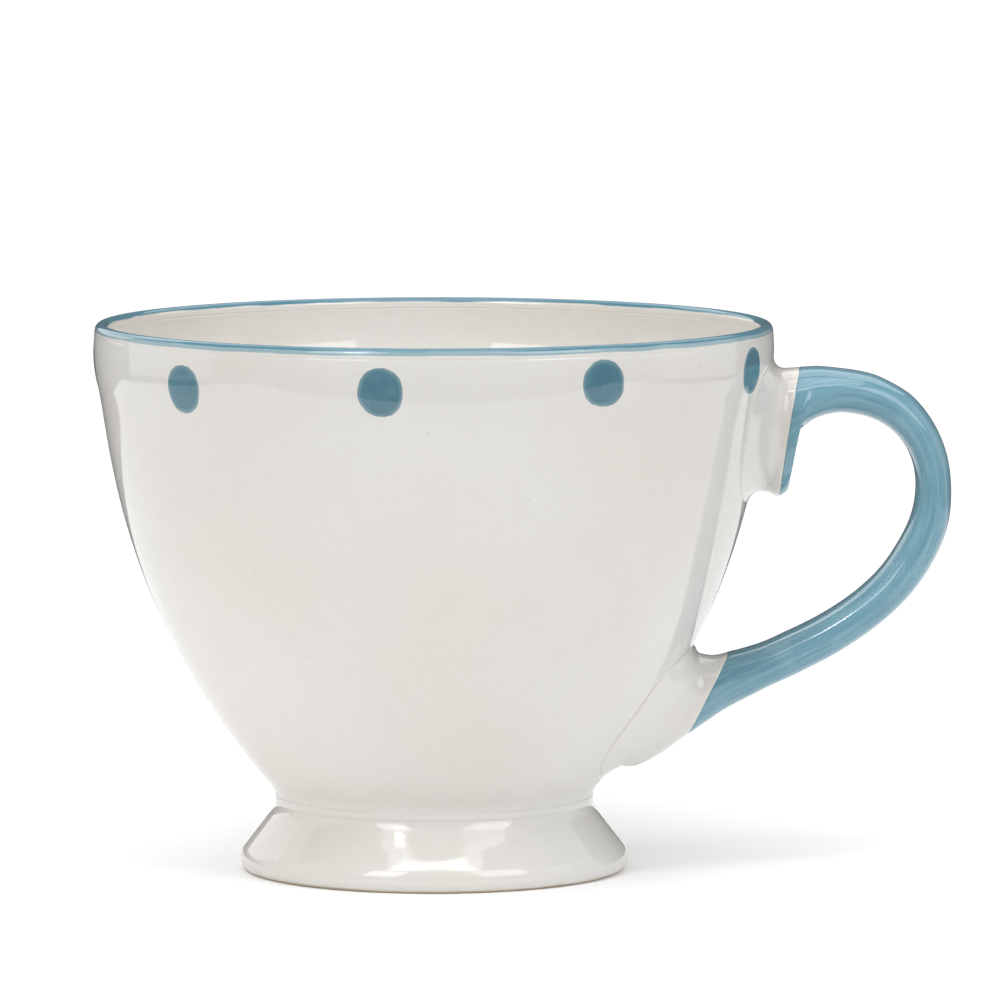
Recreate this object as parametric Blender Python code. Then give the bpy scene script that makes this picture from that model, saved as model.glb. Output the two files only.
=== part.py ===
"""Footed stoneware cup with a looped ear.

A turned bowl stands on a hollow turned foot, and the two are luted together with a ring
of slip at the waist. A cast ear is luted to the wall at two roots, each closed by a
fillet of slip. The coloured glaze is made as pieces of its own: a band that wraps the
lip, a sleeve round the loop of the ear, and a row of dots let into the wall.

Metres, +Z up. The origin is under the middle of the whole cup, on the surface it stands
on, and the ear points along +X.
"""
import math

import bmesh
import bpy
import numpy as np

MM = 0.001

# Cup
CUP_HEIGHT = 97.0 * MM
RIM_RADIUS = 60.0 * MM            # widest, just under the lip
LIP_THICKNESS = 2.4 * MM
WALL_THICKNESS = 4.0 * MM
WALL_TAPER = 30.0 * MM            # height over which the wall thins towards the lip
LIP_TURN_HEIGHT = 11.0 * MM       # below the rim, where the wall starts to turn upright
LIP_TURN_RADIUS = 29.2 * MM
LIP_TURN_LEAN = math.radians(12.75)
FLANK_LEAN = math.radians(41.0)   # lean of the bowl just above the waist
FLANK_PULL = 0.583                # Bezier handles, as shares of the flank's height
SHOULDER_PULL = 0.137
FLOOR_THICKNESS = 5.0 * MM
FLOOR_BLEND = 9.0 * MM            # height of the round turn from the floor to the wall

# Foot
WAIST_RADIUS = 28.1 * MM
WAIST_HEIGHT = 12.6 * MM
WAIST_GROOVE = 4.0 * MM           # radius of the hollow turned at the waist
FOOT_RADIUS = 34.4 * MM
FOOT_EDGE_HEIGHT = 2.1 * MM
FOOT_SHOULDER = 3.2 * MM
FOOT_WALL = 4.2 * MM
STANDING_RADIUS = 32.9 * MM       # outer edge of the bare ring that the cup stands on
STANDING_WIDTH = 3.0 * MM
RING_EDGE = 0.4 * MM
SEAM_THICKNESS = 0.6 * MM         # slip between the foot and the bowl

# Ear
EAR_REACH = 35.4 * MM             # from the wall to the outside of the loop
UPPER_ROOT_DROP = 18.9 * MM       # from the rim down to the middle of the upper root
UPPER_ROOT_TALL = 22.9 * MM
LOWER_ROOT_HEIGHT = 28.5 * MM     # from the table up to the middle of the lower root
LOWER_ROOT_TALL = 25.0 * MM
STRAP_THICKNESS = 5.3 * MM        # of the loop, seen from the side
STRAP_DEPTH = 12.6 * MM           # of the loop, across
ROOT_DEPTH = 20.0 * MM
EAR_SQUARENESS = 2.5              # exponent of the section: 2 is an ellipse
UPPER_FILLET_RISE = 4.4 * MM      # how far the slip runs out along the root
UPPER_FILLET_SPREAD = 11.0 * MM   # how far it runs out sideways over the wall
LOWER_FILLET_RISE = 6.0 * MM
LOWER_FILLET_SPREAD = 12.5 * MM
FILLET_EDGE = 2.0 * MM            # its reach above and below a root
ROOT_FADE = 10.0 * MM             # over which the ear stops following the round wall

# Coloured glaze
COAT = 0.35 * MM
RIM_BAND_DEPTH = 1.9 * MM
DOT_COUNT = 9
DOT_WIDTH = 8.1 * MM
DOT_TALL = 8.5 * MM
DOT_DROP = 7.3 * MM               # from the rim to the middle of the dots
DOT_THICKNESS = 0.4 * MM

GAP = 0.3 * MM                    # clearance between pieces that touch

# How far the painter's hand strayed at each dot: degrees round the cup, and mm of height.
DOT_STRAYS = [(0.9, 0.3), (1.2, -0.2), (2.6, 0.6), (2.3, -0.5), (3.9, 0.1),
              (4.3, -1.05), (1.7, -0.15), (-0.6, 0.8), (-1.9, 0.5)]

# Sections of the ear, from the upper root round the loop to the lower root. Each row is
# the reach of its middle from the wall (share of the ear's reach), its height (share of
# the way up from the lower root to the upper), its lean from upright (degrees), and its
# swell (0 at the strap's own size, 1 at the root's).
EAR_SECTIONS = [
    (0.000, 1.000, 9, 0.94),
    (0.081, 0.995, 8, 0.95),
    (0.157, 0.991, 9, 0.99),      # end of the white upper root: the spur under it
    (0.209, 1.005, 10, 0.92),
    (0.228, 1.042, 18, 0.75),
    (0.267, 1.083, 31, 0.57),
    (0.350, 1.119, 42, 0.365),
    (0.469, 1.126, 47, 0.24),
    (0.593, 1.108, 48, 0.15),
    (0.713, 1.073, 49, 0.10),
    (0.837, 1.004, 54, 0.06),
    (0.940, 0.903, 65, 0.05),
    (1.000, 0.791, 84, 0.05),     # furthest from the wall
    (1.024, 0.672, 107, 0.070),
    (0.999, 0.549, 119, 0.087),
    (0.949, 0.452, 130, 0.088),
    (0.861, 0.362, 142, 0.088),
    (0.726, 0.273, 151, 0.095),
    (0.575, 0.203, 163, 0.110),
    (0.425, 0.143, 180, 0.155),
    (0.320, 0.101, 196, 0.295),
    (0.240, 0.056, 206, 0.530),    # start of the white lower root
    (0.154, 0.010, 209, 0.75),
    (0.072, -0.006, 210, 0.90),
    (0.000, 0.001, 214, 0.99),
]
UPPER_GLAZE_ROW = 2
FURTHEST_ROW = 12
LOWER_GLAZE_ROW = 21
LAST_ROW = len(EAR_SECTIONS) - 1
ROOT_ROWS = 4                     # rows at each end that turn with the slope of the wall

# Fineness of the meshes
TURN_STEPS = 48
EAR_AROUND = 24
DOT_AROUND = 16
FILLET_STEPS = (0.0, 0.06, 0.2, 0.4, 0.7, 1.0)   # shares of a fillet's rise


# ---------------------------------------------------------------- profile geometry

def arc(centre, radius, start, end, steps):
    """Points on a circle in the plane of the profile, from one angle to another."""
    angles = np.linspace(start, end, steps + 1)
    return [(centre[0] + radius * math.cos(a), centre[1] + radius * math.sin(a)) for a in angles]


def bezier(p0, p1, p2, p3, steps):
    """Points on a cubic Bezier curve."""
    p0, p1, p2, p3 = (np.array(p) for p in (p0, p1, p2, p3))
    points = []
    for t in np.linspace(0.0, 1.0, steps + 1):
        s = 1.0 - t
        points.append(tuple(s ** 3 * p0 + 3 * s * s * t * p1 + 3 * s * t * t * p2 + t ** 3 * p3))
    return points


def heading(lean):
    """Unit vector in the profile plane that leans outwards from +Z."""
    return np.array([math.sin(lean), math.cos(lean)])


def waist_centre():
    """Middle of the circle that hollows the waist."""
    return np.array([WAIST_RADIUS + WAIST_GROOVE, WAIST_HEIGHT])


def shoulder_centre():
    """Middle of the circle that rounds the foot's widest edge."""
    return np.array([FOOT_RADIUS - FOOT_SHOULDER, FOOT_EDGE_HEIGHT])


def flare_angle():
    """Direction of the normal of the straight flare, which touches both circles."""
    span = waist_centre() - shoulder_centre()
    distance = math.hypot(span[0], span[1])
    turn = math.acos((FOOT_SHOULDER + WAIST_GROOVE) / distance)
    return math.atan2(span[1], span[0]) - turn


def wall_outline(steps):
    """Outside of the bowl from the top of the waist's hollow to the lip's height."""
    low = waist_centre() + WAIST_GROOVE * np.array([-math.cos(FLANK_LEAN), math.sin(FLANK_LEAN)])
    turn_centre = np.array([RIM_RADIUS - LIP_TURN_RADIUS,
                            CUP_HEIGHT - LIP_TURN_HEIGHT + LIP_TURN_RADIUS * math.sin(LIP_TURN_LEAN)])
    high = turn_centre + LIP_TURN_RADIUS * np.array([math.cos(LIP_TURN_LEAN), -math.sin(LIP_TURN_LEAN)])
    rise = high[1] - low[1]
    low_handle = low + FLANK_PULL * rise * heading(FLANK_LEAN)
    high_handle = high - SHOULDER_PULL * rise * heading(LIP_TURN_LEAN)
    flank = bezier(low, low_handle, high_handle, high, steps)
    lip_height = CUP_HEIGHT - LIP_THICKNESS / 2
    end = math.asin((lip_height - turn_centre[1]) / LIP_TURN_RADIUS)
    turn = arc(turn_centre, LIP_TURN_RADIUS, -LIP_TURN_LEAN, end, max(3, steps // 4))
    return flank + turn[1:]


FINE_WALL = np.array(wall_outline(240))


def wall_radius(height):
    """Radius of the outside of the bowl at a height, or at an array of heights."""
    return np.interp(height, FINE_WALL[:, 1], FINE_WALL[:, 0])


def wall_lean(height):
    """How far the outside of the bowl leans outwards from upright at a height."""
    leans = np.arctan2(np.gradient(FINE_WALL[:, 0]), np.gradient(FINE_WALL[:, 1]))
    return float(np.interp(height, FINE_WALL[:, 1], leans))


def wall_thickness(height):
    """The wall thins evenly to the lip over the top of the cup."""
    share = min(1.0, max(0.0, (CUP_HEIGHT - height) / WALL_TAPER))
    return LIP_THICKNESS + (WALL_THICKNESS - LIP_THICKNESS) * share


def inner_outline(outline):
    """Inside of the bowl at the wall's thickness, listed from the top down to the floor's turn."""
    outline = np.array(outline)
    along = np.gradient(outline, axis=0)
    along /= np.hypot(along[:, 0], along[:, 1])[:, None]
    inward = np.stack([-along[:, 1], along[:, 0]], axis=1)
    thickness = np.array([wall_thickness(p[1]) for p in outline])
    return (outline + inward * thickness[:, None])[::-1]


# ---------------------------------------------------------------- mesh helpers

def finish_object(name, mesh, material, parent):
    """Link a mesh as a named piece, shade it smooth and give it its material."""
    piece = bpy.data.objects.new(name, mesh)
    bpy.context.scene.collection.objects.link(piece)
    mesh.materials.append(material)
    mesh.shade_smooth()
    mesh.set_sharp_from_angle(angle=math.radians(40))
    piece.parent = parent
    return piece


def mesh_from_bmesh(name, bm):
    """Turn a closed bmesh into a mesh whose faces point out."""
    bmesh.ops.recalc_face_normals(bm, faces=bm.faces)
    if bm.calc_volume(signed=True) < 0:
        bmesh.ops.reverse_faces(bm, faces=bm.faces)
    mesh = bpy.data.meshes.new(name)
    bm.to_mesh(mesh)
    bm.free()
    return mesh


def bridge(bm, first, second):
    """Join two rings of vertices of the same length with quads."""
    count = len(first)
    for i in range(count):
        j = (i + 1) % count
        bm.faces.new((first[i], first[j], second[j], second[i]))


def fan(bm, ring, tip):
    """Close a ring of vertices onto one point."""
    count = len(ring)
    for i in range(count):
        bm.faces.new((ring[i], ring[(i + 1) % count], tip))


def skin(bm, rings, closed):
    """Join neighbouring rings, where a ring may be a single vertex that closes an end."""
    pairs = list(zip(rings, rings[1:]))
    if closed:
        pairs.append((rings[-1], rings[0]))
    for first, second in pairs:
        if len(first) == 1:
            fan(bm, second, first[0])
        elif len(second) == 1:
            fan(bm, first, second[0])
        else:
            bridge(bm, first, second)


def turned_mesh(name, profile, closed):
    """Turn a profile round the axis. An open profile starts and ends on the axis."""
    loops = []
    for radius, height in profile:
        count = TURN_STEPS if radius > 0.0 else 1
        angles = (2 * math.pi * i / TURN_STEPS for i in range(count))
        loops.append([(radius * math.cos(a), radius * math.sin(a), height) for a in angles])
    return looped_mesh(name, loops, closed)


def looped_mesh(name, loops, closed):
    """Skin a row of point loops, closed on itself or ending in a point at both ends."""
    bm = bmesh.new()
    rings = [[bm.verts.new(tuple(point)) for point in loop] for loop in loops]
    skin(bm, rings, closed)
    return mesh_from_bmesh(name, bm)


# ---------------------------------------------------------------- materials

def glaze(name, color, roughness):
    """A fired surface of one colour."""
    material = bpy.data.materials.new(name)
    material.use_nodes = True
    shader = material.node_tree.nodes["Principled BSDF"]
    shader.inputs["Base Color"].default_value = (*color, 1.0)
    shader.inputs["Roughness"].default_value = roughness
    shader.inputs["Metallic"].default_value = 0.0
    return material


# ---------------------------------------------------------------- turned pieces

def seam_half():
    """Half of the space that the slip ring takes between the foot and the bowl."""
    return SEAM_THICKNESS / 2 + GAP


def waist_arc(low, high, steps):
    """Part of the hollow of the waist between two heights above its middle."""
    start = math.pi - math.asin(low / WAIST_GROOVE)
    end = math.pi - math.asin(high / WAIST_GROOVE)
    return arc(waist_centre(), WAIST_GROOVE, start, end, steps)


def bowl_profile():
    """Bowl, from the middle of its underside up the outside and down the inside."""
    under = WAIST_HEIGHT + seam_half()
    flank_top = WAIST_GROOVE * math.sin(FLANK_LEAN)
    outside = waist_arc(seam_half(), flank_top, 3) + wall_outline(13)[1:]
    inside = inner_outline(wall_outline(13))

    band_foot = CUP_HEIGHT - RIM_BAND_DEPTH
    lip_height = CUP_HEIGHT - LIP_THICKNESS / 2
    lip_middle = wall_radius(lip_height) - LIP_THICKNESS / 2
    recess = COAT + GAP
    outside = [p for p in outside if p[1] < band_foot - GAP]
    outside.append((wall_radius(band_foot), band_foot))
    outside.append((wall_radius(band_foot) - recess, band_foot))
    lip = arc((lip_middle, lip_height), LIP_THICKNESS / 2 - recess, 0.0, math.pi, 4)

    inner_foot = wall_radius(band_foot) - wall_thickness(band_foot)
    inside = [tuple(p) for p in inside if p[1] < band_foot - GAP]
    inside = [(inner_foot + recess, band_foot), (inner_foot, band_foot)] + inside

    floor = under + FLOOR_THICKNESS
    wall = [p for p in inside if p[1] > floor + FLOOR_BLEND]
    start = np.array(wall[-1])
    drop = start - np.array(wall[-2])
    drop /= math.hypot(drop[0], drop[1])
    turn = bezier(start, start + drop * FLOOR_BLEND, (start[0] * 0.55, floor), (0.0, floor), 6)
    return [(0.0, under)] + outside + lip + wall + turn[1:]


def foot_bore(height):
    """Radius inside the foot near the waist, where the hollow keeps the foot's wall."""
    rise = abs(height - WAIST_HEIGHT)
    return waist_centre()[0] - math.sqrt((WAIST_GROOVE + FOOT_WALL) ** 2 - rise ** 2)


def foot_profile():
    """Foot, closed: up the outside from the standing ring, and down the bore."""
    flare = flare_angle()
    edge_reach = FOOT_RADIUS - STANDING_RADIUS
    under_edge = [(STANDING_RADIUS + edge_reach * math.sin(a), FOOT_EDGE_HEIGHT * (1 - math.cos(a)))
                  for a in np.linspace(0.0, math.pi / 2, 4)]
    shoulder = arc(shoulder_centre(), FOOT_SHOULDER, 0.0, flare, 3)
    top = -seam_half()
    waist = arc(waist_centre(), WAIST_GROOVE, flare + math.pi, math.pi - math.asin(top / WAIST_GROOVE), 3)
    outside = under_edge + shoulder[1:] + waist

    bore_radius = WAIST_GROOVE + FOOT_WALL
    bore = arc(waist_centre(), bore_radius, math.pi - math.asin(top / bore_radius), flare + math.pi, 3)
    ring_inner = STANDING_RADIUS - STANDING_WIDTH
    low = np.array(bore[-1])
    along = np.array([math.sin(flare), -math.cos(flare)])
    meet = low + along * (ring_inner - RING_EDGE - low[0]) / along[0]
    inside = bore + [tuple(meet), (ring_inner - RING_EDGE, RING_EDGE), (ring_inner, 0.0)]
    return outside + inside


def seam_profile():
    """Ring of slip between the foot and the bowl, with its edge in the waist's hollow."""
    half = SEAM_THICKNESS / 2
    edge = waist_arc(-half, half, 2)
    bore = foot_bore(WAIST_HEIGHT)
    return edge + [(bore, WAIST_HEIGHT + half), (bore, WAIST_HEIGHT - half)]


def rim_band_profile():
    """Coat of glaze that wraps the lip."""
    band_foot = CUP_HEIGHT - RIM_BAND_DEPTH + GAP
    lip_height = CUP_HEIGHT - LIP_THICKNESS / 2
    lip_middle = wall_radius(lip_height) - LIP_THICKNESS / 2
    outer_foot = wall_radius(band_foot)
    inner_foot = outer_foot - wall_thickness(band_foot)
    over = arc((lip_middle, lip_height), LIP_THICKNESS / 2, 0.0, math.pi, 6)
    under = arc((lip_middle, lip_height), LIP_THICKNESS / 2 - COAT, math.pi, 0.0, 4)
    return ([(outer_foot, band_foot)] + over + [(inner_foot, band_foot), (inner_foot + COAT, band_foot)]
            + under + [(outer_foot - COAT, band_foot)])


# ---------------------------------------------------------------- ear

def section_tall(place, swell):
    """Length of a section of the ear: the strap's thickness, swollen towards the roots."""
    root_tall = UPPER_ROOT_TALL + (LOWER_ROOT_TALL - UPPER_ROOT_TALL) * place / LAST_ROW
    return STRAP_THICKNESS + (root_tall - STRAP_THICKNESS) * swell


def ear_rows():
    """Each row's reach from the wall, height, lean and swell, in metres and radians."""
    low = LOWER_ROOT_HEIGHT
    top = CUP_HEIGHT - UPPER_ROOT_DROP
    middle_reach = EAR_REACH - section_tall(FURTHEST_ROW, EAR_SECTIONS[FURTHEST_ROW][3]) / 2
    top_turn = wall_lean(top) - math.radians(EAR_SECTIONS[0][2])
    low_turn = wall_lean(low) + math.pi - math.radians(EAR_SECTIONS[LAST_ROW][2])
    rows = []
    for row, (reach, height, lean, swell) in enumerate(EAR_SECTIONS):
        turn = top_turn * max(0.0, 1.0 - row / ROOT_ROWS)
        turn += low_turn * max(0.0, 1.0 - (LAST_ROW - row) / ROOT_ROWS)
        height = low + height * (top - low)
        rows.append((reach * middle_reach, height, math.radians(lean) + turn, swell))
    return np.array(rows)


def smooth_rows(rows, place):
    """Row values at a fractional row number, on a smooth curve through the rows."""
    step = np.hypot(np.diff(rows[:, 0]), np.diff(rows[:, 1]))
    knots = np.concatenate([[0.0], np.cumsum(step)])
    slopes = np.gradient(rows, knots, axis=0)
    row = min(int(place), len(rows) - 2)
    t = place - row
    span = knots[row + 1] - knots[row]
    ends = (2 * t ** 3 - 3 * t ** 2 + 1) * rows[row] + (3 * t ** 2 - 2 * t ** 3) * rows[row + 1]
    pulls = (t ** 3 - 2 * t ** 2 + t) * slopes[row] + (t ** 3 - t ** 2) * slopes[row + 1]
    return ends + span * pulls


def ear_places():
    """Row numbers at which the ear has a loop of points: closer together near both roots."""
    places = list(np.arange(0.0, UPPER_GLAZE_ROW + 2.0, 0.5))
    places += list(np.arange(UPPER_GLAZE_ROW + 2.0, LOWER_GLAZE_ROW - 1.0, 1.0))
    places += list(np.arange(LOWER_GLAZE_ROW - 1.0, LAST_ROW, 0.5))
    return [float(p) for p in places] + [float(LAST_ROW)]


def section_loop(place, scale=1.0, taller=0.0, deeper=0.0):
    """Flat loop of points round the ear at a row number, from the outside of the loop.

    taller and deeper add to the section's half length and half depth.
    """
    reach, height, lean, swell = smooth_rows(ear_rows(), place)
    tall = scale * section_tall(place, swell) / 2 + taller
    deep = scale * (STRAP_DEPTH + (ROOT_DEPTH - STRAP_DEPTH) * swell) / 2 + deeper
    centre_x = wall_radius(height) + reach
    points = []
    for i in range(EAR_AROUND):
        angle = 2 * math.pi * i / EAR_AROUND
        across = rounded(math.sin(angle)) * deep
        up = rounded(math.cos(angle)) * tall
        points.append((centre_x + up * math.sin(lean), across, height + up * math.cos(lean)))
    return np.array(points)


def rounded(share):
    """One coordinate of the section's rounded outline, from the sine or cosine of its angle."""
    return math.copysign(abs(share) ** (2 / EAR_SQUARENESS), share)


def outward_normals(loops):
    """Normals of the skin through a row of loops, at every point."""
    loops = np.array(loops)
    along = np.gradient(loops, axis=0)
    around = np.roll(loops, -1, axis=1) - np.roll(loops, 1, axis=1)
    normals = np.cross(along, around)
    normals /= np.linalg.norm(normals, axis=2, keepdims=True)
    outward = loops - loops.mean(axis=1, keepdims=True)
    return normals * np.sign((normals * outward).sum())


def seat_on_wall(loop):
    """Move a loop along X until it lies on the flat of the wall, one gap clear of it."""
    seated = loop.copy()
    seated[:, 0] = wall_radius(loop[:, 2]) + GAP / math.cos(FLANK_LEAN)
    return seated


def follow_wall(loop):
    """Bend points near the wall round the cup, so that a root fits its roundness."""
    bent = loop.copy()
    radius = wall_radius(loop[:, 2])
    clear = np.clip((loop[:, 0] - radius) / ROOT_FADE, 0.0, 1.0)
    fade = 1.0 - clear * clear * (3.0 - 2.0 * clear)
    half = np.clip(loop[:, 1], -radius, radius)
    bent[:, 0] -= fade * (radius - np.sqrt(radius ** 2 - half ** 2))
    return bent


def root_cap(place):
    """Loops that close the ear's end over the wall, from the middle to its edge."""
    loops = []
    middle = section_loop(place).mean(axis=0, keepdims=True)
    loops.append(follow_wall(seat_on_wall(middle)))
    for scale in (0.35, 0.7):
        loops.append(follow_wall(seat_on_wall(section_loop(place, scale))))
    return loops


def ear_skin():
    """Outer skin of the ear, unbent: row numbers, loops of points and their normals."""
    places = ear_places()
    loops = [section_loop(place) for place in places]
    normals = level_ends(places, loops, outward_normals(loops))
    return places, loops, normals


def level_ends(places, loops, normals):
    """Turn the normals at both ends of the coloured glaze into the planes of their sections."""
    for place, beyond in ((UPPER_GLAZE_ROW, 1), (LOWER_GLAZE_ROW, -1)):
        i = places.index(float(place))
        along = step_towards(loops[i], loops[i + beyond]) / GAP
        level = normals[i] - (normals[i] @ along)[:, None] * along
        normals[i] = level / np.linalg.norm(level, axis=1, keepdims=True)
    return normals


def ear_core_loops():
    """Body of the ear: full size at both roots, and thinner under the coloured sleeve."""
    places, loops, normals = ear_skin()
    recess = COAT + GAP
    body = root_cap(0)
    for i, place in enumerate(places):
        loop = loops[i]
        if place in (0.0, float(LAST_ROW)):
            loop = seat_on_wall(loop)
        coated = UPPER_GLAZE_ROW <= place <= LOWER_GLAZE_ROW
        if place == UPPER_GLAZE_ROW:
            body.append(follow_wall(loop))
        if coated:
            body.append(follow_wall(loops[i] - normals[i] * recess))
        if place == LOWER_GLAZE_ROW or not coated:
            body.append(follow_wall(loop))
    return body + root_cap(LAST_ROW)[::-1]


def ear_sleeve_loops():
    """Coat of glaze round the loop of the ear, one gap short of the white roots."""
    places, loops, normals = ear_skin()
    outer = []
    inner = []
    for i, place in enumerate(places):
        if not UPPER_GLAZE_ROW <= place <= LOWER_GLAZE_ROW:
            continue
        loop = loops[i]
        if place == UPPER_GLAZE_ROW:
            loop = loop + step_towards(loop, loops[i + 1])
        if place == LOWER_GLAZE_ROW:
            loop = loop + step_towards(loop, loops[i - 1])
        outer.append(follow_wall(loop))
        inner.append(follow_wall(loop - normals[i] * COAT))
    return outer + inner[::-1]


def step_towards(loop, neighbour):
    """Shift of one gap from one section towards the next."""
    step = neighbour.mean(axis=0) - loop.mean(axis=0)
    return step / np.linalg.norm(step) * GAP


def skin_near_root(at_top, reach, taller, deeper):
    """Loop of points round a root that all lie at one distance from the flat of the wall."""
    places = np.linspace(0.0, UPPER_GLAZE_ROW + 1.0, 31)
    if not at_top:
        places = LAST_ROW - places
    loops = np.array([section_loop(place, taller=taller, deeper=deeper) for place in places])
    clear = loops[:, :, 0] - wall_radius(loops[:, :, 2])
    points = []
    for i in range(EAR_AROUND):
        points.append([np.interp(reach, clear[:, i], loops[:, i, axis]) for axis in range(3)])
    loop = np.array(points)
    loop[:, 0] = wall_radius(loop[:, 2]) + reach
    return loop


def flare(reach, rise, spread):
    """Extra size of an elliptical fillet at a distance from the wall."""
    rest = max(0.0, 1.0 - reach / rise)
    return spread * (1.0 - math.sqrt(1.0 - rest * rest))


def fillet_loops(at_top, rise, spread):
    """Ring of slip in the corner between the wall and a root: wide sideways, narrow at its ends."""
    clear = GAP / math.cos(FLANK_LEAN)
    under = []
    for share in (0.25, 0.5, 0.75):
        taller = GAP + share * (COAT + FILLET_EDGE)
        deeper = GAP + share * (COAT + spread)
        under.append(follow_wall(skin_near_root(at_top, clear, taller, deeper)))
    outer = []
    inner = []
    for share in FILLET_STEPS:
        reach = share * rise
        taller = GAP + COAT + flare(reach, FILLET_EDGE, FILLET_EDGE)
        deeper = GAP + COAT + flare(reach, rise, spread)
        outer.append(follow_wall(skin_near_root(at_top, clear + reach, taller, deeper)))
        inner.append(follow_wall(skin_near_root(at_top, clear + reach, GAP, GAP)))
    return under + outer + inner[::-1]


# ---------------------------------------------------------------- dots

def dot_places():
    """Direction and height of the middle of each dot. The ear lies midway between two."""
    places = []
    for i, (turn, rise) in enumerate(DOT_STRAYS[:DOT_COUNT]):
        angle = math.radians((i + 0.5) * 360.0 / DOT_COUNT + turn)
        places.append((angle, CUP_HEIGHT - DOT_DROP + rise * MM))
    return places


def dot_loops(angle, height, grow, outer, inner):
    """Oval patch that follows the wall, between two depths below its surface."""
    loops = []
    for depth in (outer, inner):
        for scale in (0.0, 0.5, 1.0) if depth == outer else (1.0, 0.5, 0.0):
            count = DOT_AROUND if scale > 0.0 else 1
            loop = []
            for i in range(count):
                turn = 2 * math.pi * i / DOT_AROUND
                side = scale * (DOT_WIDTH / 2 + grow) * math.cos(turn)
                z = height + scale * (DOT_TALL / 2 + grow) * math.sin(turn)
                radius = wall_radius(z)
                direction = angle + side / radius
                radius -= depth
                loop.append((radius * math.cos(direction), radius * math.sin(direction), z))
            loops.append(loop)
    return loops


def add_dots(bowl, axis, material):
    """Dots of colour, and the shallow hollows in the bowl that they fill."""
    for i, (angle, height) in enumerate(dot_places()):
        name = "glaze_dot_%d" % (i + 1)
        loops = dot_loops(angle, height, 0.0, 0.0, DOT_THICKNESS)
        finish_object(name, looped_mesh(name, loops, False), material, axis)
        hollow = "hollow_%d" % (i + 1)
        loops = dot_loops(angle, height, GAP, -DOT_THICKNESS, DOT_THICKNESS + GAP)
        cutter = finish_object(hollow, looped_mesh(hollow, loops, False), material, axis)
        cutter.hide_render = True
        cutter.display_type = "WIRE"
        cut = bowl.modifiers.new(hollow, "BOOLEAN")
        cut.operation = "DIFFERENCE"
        cut.solver = "EXACT"
        cut.object = cutter


# ---------------------------------------------------------------- the cup

def cup_axis():
    """Empty on the axis of the bowl, set so that the whole cup is centred on the origin."""
    ear_outside = max(section_loop(place)[:, 0].max() for place in ear_places())
    axis = bpy.data.objects.new("cup_axis", None)
    bpy.context.scene.collection.objects.link(axis)
    axis.location = (-(ear_outside - RIM_RADIUS) / 2, 0.0, 0.0)
    return axis


def build():
    """Make every piece of the cup."""
    for piece in list(bpy.data.objects):
        bpy.data.objects.remove(piece, do_unlink=True)

    cream = glaze("cream_glaze", (0.76, 0.74, 0.69), 0.12)
    blue = glaze("blue_glaze", (0.10, 0.27, 0.35), 0.12)
    slip = glaze("slip", (0.74, 0.72, 0.66), 0.16)
    axis = cup_axis()

    bowl = finish_object("bowl", turned_mesh("bowl", bowl_profile(), False), cream, axis)
    finish_object("pedestal_foot", turned_mesh("pedestal_foot", foot_profile(), True), cream, axis)
    finish_object("foot_slip_seam", turned_mesh("foot_slip_seam", seam_profile(), True), slip, axis)
    finish_object("rim_glaze_band", turned_mesh("rim_glaze_band", rim_band_profile(), True), blue, axis)
    finish_object("ear_handle", looped_mesh("ear_handle", ear_core_loops(), False), cream, axis)
    finish_object("ear_glaze_sleeve", looped_mesh("ear_glaze_sleeve", ear_sleeve_loops(), True), blue, axis)
    for name, at_top, rise, spread in (
            ("upper_slip_fillet", True, UPPER_FILLET_RISE, UPPER_FILLET_SPREAD),
            ("lower_slip_fillet", False, LOWER_FILLET_RISE, LOWER_FILLET_SPREAD)):
        loops = fillet_loops(at_top, rise, spread)
        finish_object(name, looped_mesh(name, loops, True), slip, axis)
    add_dots(bowl, axis, blue)


build()
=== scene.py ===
import math

import bmesh
import bpy
import numpy as np
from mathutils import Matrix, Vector


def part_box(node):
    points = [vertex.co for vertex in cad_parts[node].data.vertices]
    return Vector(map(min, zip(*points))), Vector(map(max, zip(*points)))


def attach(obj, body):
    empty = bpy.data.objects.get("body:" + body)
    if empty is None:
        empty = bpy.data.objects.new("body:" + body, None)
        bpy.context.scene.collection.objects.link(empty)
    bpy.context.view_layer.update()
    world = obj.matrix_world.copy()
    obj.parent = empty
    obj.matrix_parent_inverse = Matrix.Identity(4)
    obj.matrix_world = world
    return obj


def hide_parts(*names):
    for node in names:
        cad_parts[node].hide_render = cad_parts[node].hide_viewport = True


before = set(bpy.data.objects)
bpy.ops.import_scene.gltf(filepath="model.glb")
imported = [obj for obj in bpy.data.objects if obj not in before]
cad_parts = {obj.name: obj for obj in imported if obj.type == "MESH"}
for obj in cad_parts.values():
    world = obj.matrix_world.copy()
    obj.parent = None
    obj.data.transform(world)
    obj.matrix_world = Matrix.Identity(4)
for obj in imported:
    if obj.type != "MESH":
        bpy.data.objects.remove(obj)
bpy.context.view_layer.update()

# Looks of the footed stoneware cup. One visual piece stands for each CAD node, and all of
# them ride the one body. Metres, +Z up, the ear along +X.

MM = 0.001

# ---------------------------------------------------------------- sizes
# The same as the CAD's, apart from three rows of EAR_SECTIONS, which make the spur slimmer here.

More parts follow.
